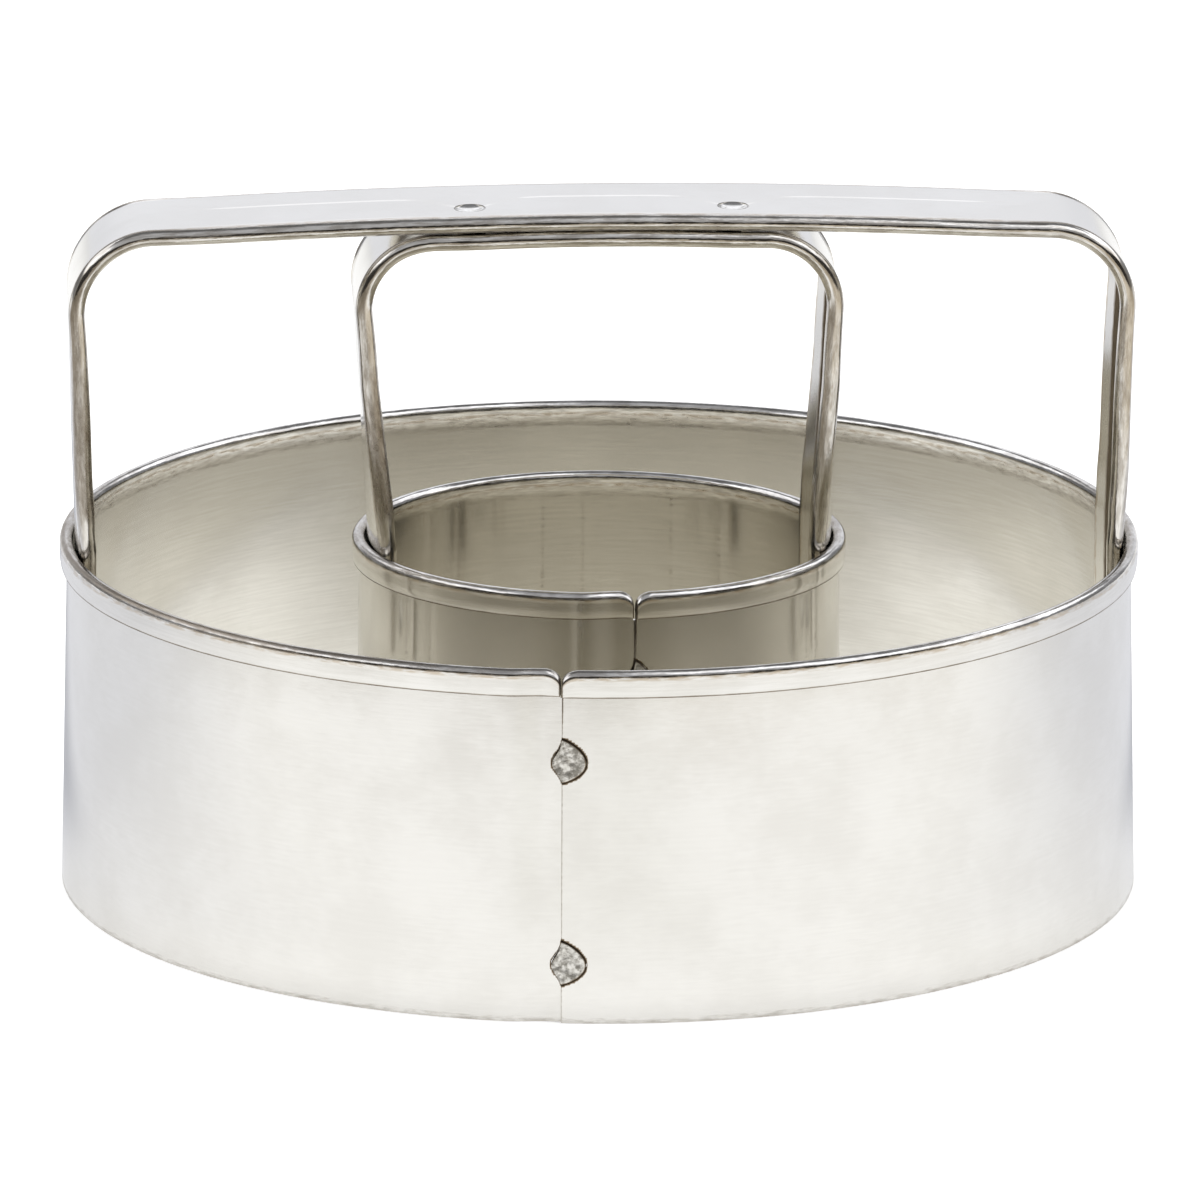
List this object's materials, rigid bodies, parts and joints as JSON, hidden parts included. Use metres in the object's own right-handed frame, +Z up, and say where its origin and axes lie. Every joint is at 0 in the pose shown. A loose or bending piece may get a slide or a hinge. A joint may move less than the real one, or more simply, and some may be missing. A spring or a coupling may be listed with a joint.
{
  "type": "doughnut cutter",
  "caption": "Concentric hemmed tinplate cutting rings on nested, spot-welded strap handles, for stamping ring doughnuts and their holes out of rolled dough.",
  "frame": {"origin": "centre of the rings, on the plane of the cutting edges", "axes": "+Z up to the handles, +X along the handles, -Y towards the rings' seams"},
  "size_m": [0.0824, 0.0824, 0.0531],
  "materials": {
    "tinplate": "satin tinplate",
    "weld": "dull, mottled spot weld"
  },
  "bodies": {
    "root": {"outer_ring": "tinplate", "inner_ring": "tinplate", "outer_handle": "tinplate", "inner_handle": "tinplate", "outer_seam_weld_lower": "weld", "outer_seam_weld_upper": "weld", "inner_seam_weld_lower": "weld", "inner_seam_weld_upper": "weld", "outer_foot_weld_left_upper": "weld", "outer_foot_weld_left_lower": "weld", "outer_foot_weld_right_upper": "weld", "outer_foot_weld_right_lower": "weld", "inner_foot_weld_left_upper": "weld", "inner_foot_weld_left_lower": "weld", "inner_foot_weld_right_upper": "weld", "inner_foot_weld_right_lower": "weld", "top_weld_left": "weld", "top_weld_right": "weld"}
  },
  "joints": []
}
